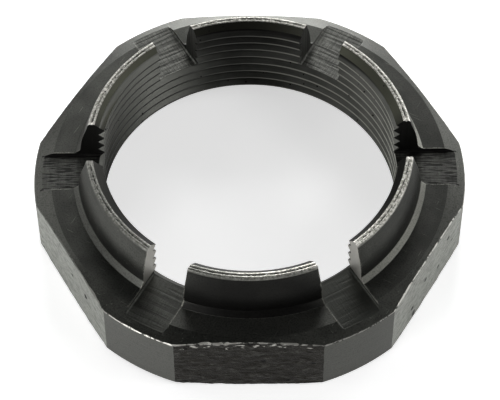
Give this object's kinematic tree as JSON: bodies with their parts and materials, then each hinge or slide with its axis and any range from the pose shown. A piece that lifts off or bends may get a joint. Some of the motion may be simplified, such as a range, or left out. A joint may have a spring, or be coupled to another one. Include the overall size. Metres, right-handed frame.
{
  "type": "stub axle nut",
  "caption": "Thin hexagonal castle nut with a slotted collar, for the threaded end of a vehicle stub axle.",
  "frame": {"origin": "middle of the bearing face, on the thread axis", "axes": "+Z along the thread axis, from the bearing face to the slotted collar; flats face +Y and -Y"},
  "size_m": [0.1114, 0.105, 0.032],
  "materials": {
    "dark_steel": "machined steel, oiled black, with worn bright edges"
  },
  "bodies": {
    "root": {"axle_nut": "dark_steel"}
  },
  "joints": []
}
